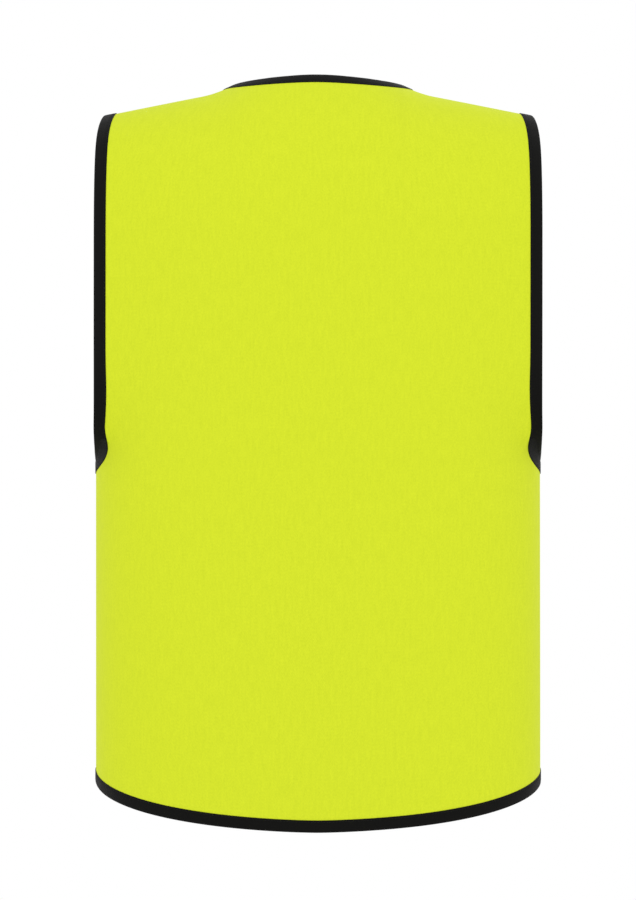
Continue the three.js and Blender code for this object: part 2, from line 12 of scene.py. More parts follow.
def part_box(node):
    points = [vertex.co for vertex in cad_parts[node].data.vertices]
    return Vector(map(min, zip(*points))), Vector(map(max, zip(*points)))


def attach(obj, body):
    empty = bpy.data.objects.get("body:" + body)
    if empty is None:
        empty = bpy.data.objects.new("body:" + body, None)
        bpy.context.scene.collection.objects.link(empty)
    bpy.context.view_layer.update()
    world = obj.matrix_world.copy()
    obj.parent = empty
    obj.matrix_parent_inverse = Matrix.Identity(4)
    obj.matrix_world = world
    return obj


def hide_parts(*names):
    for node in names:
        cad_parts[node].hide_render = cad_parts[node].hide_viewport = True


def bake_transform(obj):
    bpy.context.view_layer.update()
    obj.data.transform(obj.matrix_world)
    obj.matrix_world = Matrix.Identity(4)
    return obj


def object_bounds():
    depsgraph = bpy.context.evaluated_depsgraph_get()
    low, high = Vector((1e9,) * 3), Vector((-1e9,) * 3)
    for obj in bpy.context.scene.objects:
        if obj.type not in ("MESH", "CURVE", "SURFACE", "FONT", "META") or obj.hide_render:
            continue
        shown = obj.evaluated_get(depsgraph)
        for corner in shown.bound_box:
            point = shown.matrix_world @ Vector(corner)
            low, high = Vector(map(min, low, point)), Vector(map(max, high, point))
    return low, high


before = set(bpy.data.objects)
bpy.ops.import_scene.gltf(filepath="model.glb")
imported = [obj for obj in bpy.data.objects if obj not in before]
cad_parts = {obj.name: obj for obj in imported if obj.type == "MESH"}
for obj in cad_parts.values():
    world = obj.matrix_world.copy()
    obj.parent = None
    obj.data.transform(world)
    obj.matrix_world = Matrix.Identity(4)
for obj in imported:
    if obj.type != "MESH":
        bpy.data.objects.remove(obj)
cad_box = [list(corner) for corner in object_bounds()]

# ---------------------------------------------------------------- sizes, in metres

MM = 0.001
SHOULDER_HEIGHT = 0.757          # heights are from the lowest level of the hem
SHOULDER_SLOPE = 0.2
SHOULDER_HALF_WIDTH = 0.219
SHOULDER_TIP_INSET = 0.0055
SIDE_HALF_WIDTH = 0.221
BODY_DEPTH = 0.118
BODY_ROUNDING = 2.6
CENTRE_FLAT_HALF_WIDTH = 0.042
ARMHOLE_BOTTOM = 0.370
ARMHOLE_CORNER = 0.036
ARMHOLE_SETBACK = 0.034
ROLL_START = 0.590
ROLL_LENGTH = 0.228
ROLL_ROUNDING = 2.2
CLOTH_TOP = ROLL_START + ROLL_LENGTH
NECK_HALF_WIDTH = 0.084
NECK_BACK_REACH = 0.065
NECK_RISE = 0.0225
NECK_RISE_HALF_WIDTH = 0.115
V_BOTTOM = 0.530
V_NECK_CURVE = 1.5
HEM_BACK = 0.011
HEM_FRONT = 0.020
HEM_SIDE = 0.0525
HEM_CURVE = 1.55
FRONT_EDGE = 0.014

CLOTH = 0.9 * MM
BINDING_WIDTH = 12 * MM
ARMHOLE_BINDING_WIDTH = 13 * MM
TUCK = 1.5 * MM                  # cloth's edge to the fold of its binding
STITCH_LINE = 10.2 * MM          # stitches to the fold
STITCH_PITCH = 3 * MM
STITCH_LENGTH = 2.2 * MM
THREAD = 0.24 * MM               # half the thickness of the thread
THREAD_ON_CLOTH = 0.52 * MM      # middle of the thread above the middle of the cloth
THREAD_ON_BINDING = 0.98 * MM
PUCKERED_ABOVE = 0.6 * MM        # the stitches leave what lies nearer to the middle of the cloth even
EASING = 9                       # rounds that even out a binding where the cloth turns sharply
TOOTH_PITCH = 4 * MM
SIDE_SEAM_ROW = 1.6 * MM         # stitches beside a side seam
SHOULDER_SEAM_ROW = 3.2 * MM     # stitches beside a shoulder seam, by height of the row
SHOULDER_ROW_START = 0.098       # from the middle of the vest
SHOULDER_ROW_END = 19 * MM       # short of the tip of the shoulder
ZIP_ROWS = (16.2 * MM, 22.5 * MM)
NECK_LABEL = (0.0498, 0.0214)    # width and length
NECK_LABEL_DROP = 12.8 * MM      # below the fold of the neck binding
CARE_LABEL = (0.0318, 0.0544)
CARE_LABEL_FOOT = 0.1103
CARE_LABEL_ACROSS = (0.9315, 0.9985)


def shoulder_line(x):
    near_neck = np.maximum(0, 1 - (x / NECK_RISE_HALF_WIDTH) ** 2)
    return SHOULDER_HEIGHT - SHOULDER_SLOPE * np.hypot(x, 0.030) + NECK_RISE * near_neck ** 2


ORIGIN_HEIGHT = float(shoulder_line(np.array(NECK_HALF_WIDTH)))

# ---------------------------------------------------------------- the surface that the cloth follows


def smoothstep(x, low, high):
    t = np.clip((x - low) / (high - low), 0, 1)
    return t * t * (3 - 2 * t)


def bend(x, half_width):
    return np.maximum(0, x - CENTRE_FLAT_HALF_WIDTH) / (half_width - CENTRE_FLAT_HALF_WIDTH)


def body_section(across):
    """Half the width and the depth of the trunk, a rounded oblong, with its columns closest at the side."""
    x = SIDE_HALF_WIDTH * (1 - (1 - across) ** 1.7)
    turn = np.minimum(1, bend(x, SIDE_HALF_WIDTH))
    return x, BODY_DEPTH * (1 - turn ** BODY_ROUNDING) ** (1 / BODY_ROUNDING)


def chest_section(across):
    """The same between the armholes, where the cloth is flatter and stops short of the side."""
    x = SHOULDER_HALF_WIDTH * across
    return x, BODY_DEPTH - ARMHOLE_SETBACK * bend(x, SHOULDER_HALF_WIDTH) ** 2


def chest_share(across, height):
    """0 where the cloth follows the trunk and 1 where it follows the chest: sharply at the armhole only."""
    gentle = smoothstep(height, ARMHOLE_BOTTOM - 0.060, ARMHOLE_BOTTOM + 0.110)
    risen = np.clip((height - ARMHOLE_BOTTOM) / ARMHOLE_CORNER, 0, 1)
    edge = np.sqrt(1 - (1 - risen) ** 2)
    eased = smoothstep(height, ARMHOLE_BOTTOM - 0.006, ARMHOLE_BOTTOM + 0.028)
    edge = eased + (edge - eased) * smoothstep(across, 0.9, 0.99)
    return gentle + (edge - gentle) * across ** 8


def cloth_points(signed_across, up):
    """Points of the back half, which the front mirrors. across is -1 to 1, up runs on over the shoulder."""
    across = np.minimum(1, np.abs(signed_across))
    height = np.minimum(up, ROLL_START)
    roll = np.clip((up - ROLL_START) / ROLL_LENGTH, 0, 1) * math.pi / 2
    share = chest_share(across, height)
    body_x, body_y = body_section(across)
    chest_x, chest_y = chest_section(across)
    inset = SHOULDER_TIP_INSET * across ** 6 * np.sin(roll) ** 8
    x = body_x + (chest_x - body_x) * share - inset
    flat_y = body_y + (chest_y - body_y) * share
    forward = np.maximum(0, np.cos(roll)) ** (2 / ROLL_ROUNDING)
    climb = np.sin(roll) ** (2 / ROLL_ROUNDING)
    z = height + (shoulder_line(x) - ROLL_START) * climb
    return np.stack([np.sign(signed_across) * x, flat_y * forward, z - ORIGIN_HEIGHT], axis=-1)


def across_at(x, up):
    """The value of across that lies at x, found by halving."""
    low, high = np.zeros_like(up), np.ones_like(up)
    for _ in range(40):
        middle = (low + high) / 2
        inside = cloth_points(middle, up)[..., 0] < x
        low, high = np.where(inside, middle, low), np.where(inside, high, middle)
    return (low + high) / 2


def hem_height(across, middle):
    return middle + (HEM_SIDE - middle) * np.abs(across) ** HEM_CURVE


def neckline(x):
    reach = NECK_BACK_REACH * np.sqrt(np.maximum(0, 1 - (x / NECK_HALF_WIDTH) ** 2))
    depth = chest_section(np.abs(x) / SHOULDER_HALF_WIDTH)[1]
    return ROLL_START + ROLL_LENGTH * np.arccos((reach / depth) ** (ROLL_ROUNDING / 2)) / (math.pi / 2)


def front_edge(up):
    share = np.clip((up - V_BOTTOM) / (CLOTH_TOP - V_BOTTOM), 0, 1)
    return FRONT_EDGE + (NECK_HALF_WIDTH - FRONT_EDGE) * (1 - (1 - share) ** V_NECK_CURVE)


def eased_front_edge(up):
    """The front edge, with its slight corner where the cloth starts to turn over the shoulder eased off."""
    ups = np.linspace(V_BOTTOM, CLOTH_TOP, 400)
    xs = front_edge(ups)
    heights = cloth_points(across_at(xs, ups), ups)[:, 2]
    even = np.linspace(heights[0], heights[-1], 400)
    line = np.interp(even, heights, xs)
    weights = np.hanning(81)
    weights /= weights.sum()
    middle = np.convolve(line, weights, "valid")
    corner = heights[np.searchsorted(ups, ROLL_START)]
    share = np.maximum(0, 1 - np.abs(even[40:-40] - corner) / 0.040)
    line[40:-40] += (middle - line[40:-40]) * smoothstep(share, 0, 0.5)
    eased = np.interp(np.interp(up, ups, heights), even, line)
    return np.where(up < V_BOTTOM, FRONT_EDGE, eased)


def relief(points, seed):
    """Slight, slow unevenness of hanging cloth, in metres."""
    x, y, z = points[..., 0], points[..., 1], points[..., 2]
    waves = np.sin(21 * x + 5 * z + seed) * np.sin(4.2 * z + 9 * y + 2 * seed)
    waves += 0.6 * np.sin(43 * x - 8 * z + 1.7 * seed) * np.sin(6.5 * z + seed)
    return 0.35 * MM * waves


# ---------------------------------------------------------------- sheets


def grid_normals(points):
    normal = np.cross(np.gradient(points, axis=1), np.gradient(points, axis=0))
    return normal / np.maximum(1e-12, np.linalg.norm(normal, axis=-1, keepdims=True))


def grid_faces(columns, rows, turned=False):
    index = np.arange(columns * rows).reshape(columns, rows)
    a, b = index[:-1, :-1], index[:-1, 1:]
    c, d = index[1:, 1:], index[1:, :-1]
    order = [a, d, c, b] if turned else [a, b, c, d]
    return np.stack(order, axis=-1).reshape(-1, 4)


class Sheet:
    """A grid of cloth points [column, row] with normals that point outwards."""

    def __init__(self, across, up, side, front, seed):
        points = cloth_points(across, up)
        normals = grid_normals(points)
        flip = np.array([side, -1 if front else 1, 1])
        self.points, self.normals = points * flip, normals * flip
        on_seam = np.abs(self.points[..., 1]) < 1e-5
        self.normals[on_seam, 1] = 0
        self.normals /= np.linalg.norm(self.normals, axis=-1, keepdims=True)
        self.across, self.up = across, up
        share = self.relief_share()[..., None]
        self.points = self.points + self.normals * share * relief(self.points, seed)[..., None]
        self.turned = side * (-1 if front else 1) < 0

    def relief_share(self):
        """The cloth is even along the zip and at the seams."""
        from_zip = smoothstep(np.abs(self.points[..., 0]), 0.03, 0.07)
        is_front = self.points[..., 1] <= 0
        from_seam = smoothstep(np.abs(self.points[..., 1]), 0.004, 0.03)
        return np.where(is_front, from_zip, 1) * from_seam

    def faces(self):
        return grid_faces(*self.points.shape[:2], self.turned)

    def tree(self):
        return BVHTree.FromPolygons(self.points.reshape(-1, 3).tolist(), self.faces().tolist())


def spread(stops, counts):
    """Values that pass through every stop, with that many equal steps between each two."""
    parts = [np.linspace(a, b, n, endpoint=False) for a, b, n in zip(stops, stops[1:], counts)]
    return np.concatenate(parts + [[stops[-1]]])


def rows_below_armhole(hem):
    shares = spread([0, 0.04, 1], [3, 48])[None, :-1]
    return hem[:, None] + (ARMHOLE_BOTTOM - hem)[:, None] * shares


def rows_up_corner():
    """Rows up the lower corner of the armhole, closest together at its foot."""
    return ARMHOLE_BOTTOM + ARMHOLE_CORNER * (1 - np.cos(np.linspace(0, math.pi / 2, 15)[:-1]))


def back_sheet():
    neck_turn = NECK_HALF_WIDTH * np.sin(np.linspace(0, math.pi / 2, 26)) / SHOULDER_HALF_WIDTH
    outer = 1 - 6 * MM / SHOULDER_HALF_WIDTH
    half = np.concatenate([neck_turn[:-1], spread([neck_turn[-1], outer, 1], [34, 6])])
    across = np.concatenate([-half[:0:-1], half])
    top = neckline(np.abs(across) * SHOULDER_HALF_WIDTH)
    hem = hem_height(across, HEM_BACK)
    below = rows_below_armhole(hem)
    chest = np.linspace(ARMHOLE_BOTTOM + ARMHOLE_CORNER, ROLL_START, 25)[:-1]
    middle = np.concatenate([rows_up_corner(), chest])
    rolled = ROLL_START + (top - ROLL_START)[:, None] * spread([0, 0.94, 1], [34, 4])[None, :]
    up = np.concatenate([below, np.repeat(middle[None, :], len(across), 0), rolled], axis=1)
    return Sheet(np.repeat(across[:, None], up.shape[1], 1), up, 1, False, 0.4)


def front_sheet(side):
    shares = spread([0, 0.04, 0.97, 1], [4, 48, 6])
    middle = np.concatenate([
        rows_up_corner(),
        np.linspace(ARMHOLE_BOTTOM + ARMHOLE_CORNER, V_BOTTOM, 16)[:-1],
        np.linspace(V_BOTTOM, ROLL_START, 10)[:-1],
        ROLL_START + ROLL_LENGTH * spread([0, 0.94, 1], [34, 4]),
    ])
    hem_across = across_at(np.full_like(shares, FRONT_EDGE), np.full_like(shares, HEM_FRONT))
    hem = hem_height(hem_across + (1 - hem_across) * shares, HEM_FRONT)
    up = np.concatenate([rows_below_armhole(hem), np.repeat(middle[None, :], len(shares), 0)], axis=1)
    inner = across_at(eased_front_edge(up), up)
    return Sheet(inner + (1 - inner) * shares[:, None], up, side, True, 1.9 + side)


# ---------------------------------------------------------------- meshes


def new_mesh(name, vertices, faces, uvs=None):
    mesh = bpy.data.meshes.new(name)
    mesh.from_pydata([tuple(v) for v in vertices], [], [tuple(int(i) for i in f) for f in faces])
    if uvs is not None:
        layer = mesh.uv_layers.new(name="cloth")
        loops = np.array([loop.vertex_index for loop in mesh.loops])
        layer.data.foreach_set("uv", np.asarray(uvs, np.float32)[loops].ravel())
    mesh.update()
    mesh.shade_smooth()
    return mesh


def place(mesh, name, material):
    mesh.materials.clear()
    mesh.materials.append(material)
    piece = bpy.data.objects.new(name, mesh)
    bpy.context.collection.objects.link(piece)
    return piece


def baked(piece, name, material):
    """The piece with its modifiers made real, as a new plain mesh."""
    bpy.context.view_layer.update()
    evaluated = piece.evaluated_get(bpy.context.evaluated_depsgraph_get())
    mesh = bpy.data.meshes.new_from_object(evaluated)
    bpy.data.objects.remove(piece)
    mesh.name = name
    return place(mesh, name, material)


def tucked(sheet, edges):
    """The sheet's points with its bound edges drawn in under their bindings."""
    points = sheet.points.copy()
    for line, inwards in edges:
        for (column, row), direction in zip(line, inwards):
            points[column, row] = points[column, row] + TUCK * direction
    return points


def closed_sheet(name, skins, turned, lengths):
    """Cloth with a thickness: two skins of points [column, row] joined round their rim, with lengths as UVs."""
    columns, rows = skins[0].shape[:2]
    count = columns * rows
    index = np.arange(count).reshape(columns, rows)
    ring = np.concatenate([index[:-1, 0], index[-1, :-1], index[:0:-1, -1], index[0, :0:-1]])
    if turned:
        ring = ring[::-1]
    following = np.roll(ring, -1)
    walls = np.stack([ring, ring + count, following + count, following], axis=-1)
    if not turned:
        walls = walls[:, ::-1]
    outer = grid_faces(columns, rows, turned)
    vertices = np.concatenate([skin.reshape(-1, 3) for skin in skins])
    uv = lengths.reshape(-1, 2)
    faces = np.concatenate([outer, outer[:, ::-1] + count, walls])
    mesh = new_mesh(name, vertices, faces, np.concatenate([uv, uv]))
    fix_outwards(mesh)
    return mesh


def panel(name, sheet, edges, material):
    """The cloth of one panel, and its area."""
    points = tucked(sheet, edges)
    columns, rows = points.shape[:2]
    step_across = np.linalg.norm(np.diff(points, axis=0), axis=-1)
    girth = np.concatenate([np.zeros((1, rows)), np.cumsum(step_across, axis=0)])
    girth = girth - girth[columns // 2][None, :]
    step_up = np.linalg.norm(np.diff(points, axis=1), axis=-1).mean(axis=0)
    rise = np.concatenate([[0], np.cumsum(step_up)])
    lengths = np.stack([girth, np.repeat(rise[None, :], columns, 0)], axis=-1)
    half = sheet.normals * CLOTH / 2
    mesh = closed_sheet(name, (points + half, points - half), sheet.turned, lengths)
    area = float((step_across[:, :-1].mean(axis=1).sum()) * step_up.sum())
    return place(mesh, name, material), area


def fix_outwards(mesh):
    shell = bmesh.new()
    shell.from_mesh(mesh)
    bmesh.ops.recalc_face_normals(shell, faces=shell.faces)
    shell.to_mesh(mesh)
    shell.free()
    mesh.shade_smooth()


# ---------------------------------------------------------------- edges and bindings


def edge_cells(sheet, edge):
    columns, rows = sheet.points.shape[:2]
    if edge == "hem":
        return [(c, 0) for c in range(columns)]
    if edge == "neck_top":
        width = NECK_HALF_WIDTH / SHOULDER_HALF_WIDTH + 1e-6
        return [(c, rows - 1) for c in range(columns) if abs(sheet.across[c, -1]) <= width]
    if edge == "neck_front":
        return [(0, r) for r in range(rows) if sheet.up[0, r] >= V_BOTTOM - 1e-9]
    column = 0 if edge == "armhole_first" else columns - 1
    return [(column, r) for r in range(rows) if sheet.up[column, r] >= ARMHOLE_BOTTOM - 1e-9]


def inward_directions(points, normals, inner_point):
    """Unit vectors in the cloth, square to the edge and away from it."""
    along = np.gradient(points, axis=0)
    along /= np.linalg.norm(along, axis=1, keepdims=True)
    inwards = np.cross(normals, along)
    inwards /= np.linalg.norm(inwards, axis=1, keepdims=True)
    middle = len(points) // 2
    if np.dot(inwards[middle], inner_point - points[middle]) < 0:
        inwards = -inwards
    return inwards


class Edge:
    """A bound edge of a sheet: even steps along it, with the cloth's normal and the direction into the cloth."""

    def __init__(self, sheet, edge, step):
        self.cells = edge_cells(sheet, edge)
        width = ARMHOLE_BINDING_WIDTH if edge.startswith("armhole") else BINDING_WIDTH
        self.widening = width / BINDING_WIDTH
        points = np.array([sheet.points[c] for c in self.cells])
        normals = np.array([sheet.normals[c] for c in self.cells])
        into = {"hem": (0, 6), "neck_top": (0, -6), "neck_front": (6, 0), "armhole_first": (5, 0)}
        across, up = into.get(edge, (-5, 0))
        column, row = self.cells[len(self.cells) // 2]
        self.cell_inwards = inward_directions(points, normals, sheet.points[column + across, row + up])
        lengths = np.concatenate([[0], np.cumsum(np.linalg.norm(np.diff(points, axis=0), axis=1))])
        count = max(4, int(round(lengths[-1] / step)))
        self.along = np.linspace(0, lengths[-1], count + 1)
        self.points = np.stack([np.interp(self.along, lengths, points[:, k]) for k in range(3)], axis=1)
        self.normals = np.stack([np.interp(self.along, lengths, normals[:, k]) for k in range(3)], axis=1)
        self.normals /= np.linalg.norm(self.normals, axis=1, keepdims=True)
        inwards = np.stack([np.interp(self.along, lengths, self.cell_inwards[:, k]) for k in range(3)], axis=1)
        self.inwards = inwards / np.linalg.norm(inwards, axis=1, keepdims=True)
        self.tree = sheet.tree()

    def on_cloth(self, reach):
        """Points and normals that far in from the edge, on the cloth."""
        points, normals = [], []
        for start, inwards, normal in zip(self.points, self.inwards, self.normals):
            target = start + inwards * reach
            found, facing, _, _ = self.tree.find_nearest(Vector(target))
            facing = np.array(facing)
            if np.dot(facing, normal) < 0:
                facing = -facing
            points.append(np.array(found) if reach > 1e-4 else start)
            normals.append(facing)
        points, normals = np.array(points), np.array(normals)
        ways_in = points - self.points
        for _ in range(EASING):
            ways_in, normals = smooth_along(ways_in), smooth_along(normals)
        points = self.points + ways_in
        flat = np.abs(self.points[:, 1]) < 1e-5
        points[flat, 1] = 0
        normals[flat, 1] = 0
        normals /= np.linalg.norm(normals, axis=1, keepdims=True)
        return points, normals


def smooth_along(values):
    padded = np.concatenate([values[:1], values[:1], values, values[-1:], values[-1:]])
    return (padded[:-4] + 2 * padded[1:-3] + 3 * padded[2:-2] + 2 * padded[3:-1] + padded[4:]) / 9


def binding_profile():
    """Reach from the fold and height over the cloth, round the closed section of a binding, in metres.
    The outer leg runs in from its cut edge to the fold, and the rest is its mirror image and the hollow."""
    leg = [(12.0, 0.50), (12.05, 0.80), (11.7, 1.05), (10.9, 1.10), (10.2, 0.92), (9.5, 1.10), (7.5, 1.20),
           (5.0, 1.24), (3.0, 1.24), (1.6, 1.16), (0.7, 0.95), (0.2, 0.55), (0.0, 0.0)]
    mirrored = [(reach, -height) for reach, height in leg[-2::-1]]
    hollow = [(1.6, -0.50), (1.2, 0.0), (1.6, 0.50)]
    return [(reach * MM, height * MM) for reach, height in leg + mirrored + hollow]


def pucker(along, reach, height):
    """The thread pulls the binding down at each stitch, and the cloth swells a little between them."""
    near = math.exp(-((reach - STITCH_LINE) / (1.6 * MM)) ** 2)
    wave = np.cos(2 * math.pi * along / STITCH_PITCH)
    slow = np.sin(along * 2 * math.pi / 0.031) + 0.6 * np.sin(along * 2 * math.pi / 0.0137 + 1.3)
    return height * (1 + 0.16 * near * wave + 0.03 * slow)


def swept(name, ring, along, section):
    """A closed section carried along a line, from its points [station, place], with both lengths as UVs."""
    stations, around = ring.shape[:2]
    index = np.arange(stations * around).reshape(stations, around)
    following = np.roll(index, -1, axis=1)
    sides = np.stack([index[:-1], index[1:], following[1:], following[:-1]], axis=-1).reshape(-1, 4)
    caps = [index[0].tolist(), index[-1][::-1].tolist()]
    over = np.cumsum([0] + [math.dist(a, b) for a, b in zip(section, section[1:])])
    uv = np.stack([np.repeat(along[:, None], around, 1), np.repeat(over[None, :], stations, 0)], axis=-1)
    mesh = new_mesh(name, ring.reshape(-1, 3), sides.tolist() + caps, uv.reshape(-1, 2))
    fix_outwards(mesh)
    return mesh


def binding(name, edge, material):
    profile = [(reach * edge.widening, height) for reach, height in binding_profile()]
    places = {}
    rows = []
    for reach, height in profile:
        key = round(reach, 7)
        if key not in places:
            places[key] = edge.on_cloth(reach)
        points, normals = places[key]
        lift = np.full(len(points), height)
        if abs(height) > PUCKERED_ABOVE:
            lift = pucker(edge.along, reach / edge.widening, height)
        rows.append(points + normals * lift[:, None])
    return place(swept(name, np.stack(rows, axis=1), edge.along, profile), name, material)


# ---------------------------------------------------------------- node trees


def geometry_tree(name, inputs):
    tree = bpy.data.node_groups.new(name, "GeometryNodeTree")
    tree.interface.new_socket(name="Geometry", in_out="INPUT", socket_type="NodeSocketGeometry")
    for label, kind in inputs:
        tree.interface.new_socket(name=label, in_out="INPUT", socket_type=kind)
    tree.interface.new_socket(name="Geometry", in_out="OUTPUT", socket_type="NodeSocketGeometry")
    return tree, tree.nodes.new("NodeGroupInput"), tree.nodes.new("NodeGroupOutput")


def repeat_along_tree(name):
    """Puts one object at even steps along lines, turned to follow them, and makes the result one plain mesh."""
    tree, given, result = geometry_tree(name, [
        ("Repeated Piece", "NodeSocketObject"),
        ("Pitch", "NodeSocketFloat"),
        ("Finish", "NodeSocketMaterial"),
    ])
    curve = tree.nodes.new("GeometryNodeMeshToCurve")
    points = tree.nodes.new("GeometryNodeCurveToPoints")
    points.mode = "LENGTH"
    info = tree.nodes.new("GeometryNodeObjectInfo")
    info.transform_space = "ORIGINAL"
    facing = tree.nodes.new("GeometryNodeInputNamedAttribute")
    facing.data_type = "FLOAT_VECTOR"
    facing.inputs["Name"].default_value = "facing"
    along = tree.nodes.new("FunctionNodeAlignRotationToVector")
    along.axis = "X"
    upright = tree.nodes.new("FunctionNodeAlignRotationToVector")
    upright.axis = "Z"
    upright.pivot_axis = "X"
    copies = tree.nodes.new("GeometryNodeInstanceOnPoints")
    real = tree.nodes.new("GeometryNodeRealizeInstances")
    finish = tree.nodes.new("GeometryNodeSetMaterial")
    link = tree.links.new
    link(given.outputs["Geometry"], curve.inputs["Mesh"])
    link(curve.outputs["Curve"], points.inputs["Curve"])
    link(given.outputs["Pitch"], points.inputs["Length"])
    link(given.outputs["Repeated Piece"], info.inputs["Object"])
    link(points.outputs["Tangent"], along.inputs["Vector"])
    link(along.outputs["Rotation"], upright.inputs["Rotation"])
    link(facing.outputs["Attribute"], upright.inputs["Vector"])
    link(points.outputs["Points"], copies.inputs["Points"])
    link(info.outputs["Geometry"], copies.inputs["Instance"])
    link(upright.outputs["Rotation"], copies.inputs["Rotation"])
    link(copies.outputs["Instances"], real.inputs["Geometry"])
    link(real.outputs["Geometry"], finish.inputs["Geometry"])
    link(given.outputs["Finish"], finish.inputs["Material"])
    link(finish.outputs["Geometry"], result.inputs["Geometry"])
    return tree


def set_inputs(modifier, values):
    for socket in modifier.node_group.interface.items_tree:
        if socket.in_out == "INPUT" and socket.name in values:
            modifier[socket.identifier] = values[socket.name]


def repeated(name, lines, unit, pitch, material):
    """lines is a list of (points, directions that the copies' tops face)."""
    vertices = np.concatenate([points for points, _ in lines])
    facing = np.concatenate([directions for _, directions in lines])
    edges, start = [], 0
    for points, _ in lines:
        edges += [(start + k, start + k + 1) for k in range(len(points) - 1)]
        start += len(points)
    mesh = bpy.data.meshes.new(name)
    mesh.from_pydata(vertices.tolist(), edges, [])
    attribute = mesh.attributes.new("facing", "FLOAT_VECTOR", "POINT")
    attribute.data.foreach_set("vector", facing.astype(np.float32).ravel())
    piece = bpy.data.objects.new(name, mesh)
    bpy.context.collection.objects.link(piece)
    modifier = piece.modifiers.new("repeat", "NODES")
    modifier.node_group = REPEAT_ALONG
    set_inputs(modifier, {"Repeated Piece": unit, "Pitch": pitch, "Finish": material})
    made = baked(piece, name, material)
    made.data.shade_smooth()
    return made


REPEAT_ALONG = repeat_along_tree("Repeat Along")


def unit_object(name, mesh):
    """A pattern piece for the node trees, which is removed when they have run."""
    piece = bpy.data.objects.new(name, mesh)
    bpy.context.collection.objects.link(piece)
    return piece


def stitch_unit(length, radius):
    shape = bmesh.new()
    bmesh.ops.create_uvsphere(shape, u_segments=8, v_segments=5, radius=1)
    bmesh.ops.rotate(shape, verts=shape.verts, matrix=Matrix.Rotation(math.pi / 2, 3, "Y"))
    for vertex in shape.verts:
        x, y, z = vertex.co
        vertex.co = (math.copysign(abs(x) ** 0.7, x) * length / 2, y * radius, z * radius)
    mesh = bpy.data.meshes.new("stitch_unit")
    shape.to_mesh(mesh)
    shape.free()
    mesh.shade_smooth()
    return unit_object("stitch_unit", mesh)


# ---------------------------------------------------------------- materials


def shader(name, color, roughness, **sockets):
    material = bpy.data.materials.new(name)
    material.use_nodes = True
    surface = material.node_tree.nodes["Principled BSDF"]
    surface.inputs["Base Color"].default_value = (*color, 1)
    surface.inputs["Roughness"].default_value = roughness
    for label, value in sockets.items():
        surface.inputs[label.replace("_", " ")].default_value = value
    return material, material.node_tree, surface


def node(tree, kind, **values):
    made = tree.nodes.new(kind)
    for label, value in values.items():
        if hasattr(made, label):
            setattr(made, label, value)
        else:
            made.inputs[label.replace("_", " ")].default_value = value
    return made


def maths(tree, operation, first, second=None, third=None):
    made = tree.nodes.new("ShaderNodeMath")
    made.operation = operation
    for socket, value in zip(made.inputs, (first, second, third)):
        if isinstance(value, (int, float)):
            socket.default_value = value
        elif value is not None:
            tree.links.new(value, socket)
    return made.outputs[0]


def ridges(tree, coordinate, pitch):
    """1 on a ridge and 0 between two, along one coordinate."""
    turned = maths(tree, "MULTIPLY", coordinate, 2 * math.pi / pitch)
    return maths(tree, "MULTIPLY_ADD", maths(tree, "SINE", turned), 0.5, 0.5)


def mottle(tree, vector, scale, detail, stretch=(1, 1, 1)):
    mapping = node(tree, "ShaderNodeMapping")
    mapping.inputs["Scale"].default_value = stretch
    noise = node(tree, "ShaderNodeTexNoise", Scale=scale, Detail=detail, Roughness=0.6)
    tree.links.new(vector, mapping.inputs["Vector"])
    tree.links.new(mapping.outputs["Vector"], noise.inputs["Vector"])
    return noise.outputs["Fac"]


def tint(tree, surface, factor, low, high):
    ramp = node(tree, "ShaderNodeValToRGB")
    ramp.color_ramp.elements[0].color = (*low, 1)
    ramp.color_ramp.elements[1].color = (*high, 1)
    tree.links.new(factor, ramp.inputs["Fac"])
    tree.links.new(ramp.outputs["Color"], surface.inputs["Base Color"])


def bump(tree, surface, height, distance, strength=1.0):
    made = node(tree, "ShaderNodeBump", Distance=distance, Strength=strength)
    tree.links.new(height, made.inputs["Height"])
    tree.links.new(made.outputs["Normal"], surface.inputs["Normal"])


def uv_axes(tree):
    coordinates = node(tree, "ShaderNodeTexCoord")
    axes = node(tree, "ShaderNodeSeparateXYZ")
    tree.links.new(coordinates.outputs["UV"], axes.inputs["Vector"])
    return coordinates.outputs["UV"], axes.outputs["X"], axes.outputs["Y"]


def knitted_cloth():
    """Fluorescent warp knit: fine upright wales of staggered loops, and slight streaks of dye along them."""
    material, tree, surface = shader("hi_vis_knit", (0.69, 0.81, 0.03), 0.9,
                                     Sheen_Weight=0.04, Specular_IOR_Level=0.1)
    uv, across, up = uv_axes(tree)
    wale, course = 1.1 * MM, 1.3 * MM
    wales = ridges(tree, across, wale)
    stagger = maths(tree, "ADD", up, maths(tree, "MULTIPLY", across, 0.5 * course / wale))
    loops = maths(tree, "MULTIPLY", wales, ridges(tree, stagger, course))
    streaks = mottle(tree, uv, 330, 2, (1, 0.2, 1))
    grain = mottle(tree, uv, 620, 2, (1, 0.8, 1))
    shade = maths(tree, "ADD", maths(tree, "MULTIPLY", loops, 0.3), maths(tree, "MULTIPLY", streaks, 0.35))
    shade = maths(tree, "ADD", shade, maths(tree, "MULTIPLY", grain, 0.55))
    tint(tree, surface, shade, (0.478, 0.583, 0.014), (0.727, 0.815, 0.029))
    height = maths(tree, "ADD", loops, maths(tree, "MULTIPLY", streaks, 0.35))
    bump(tree, surface, height, 0.10 * MM, 0.7)
    return material


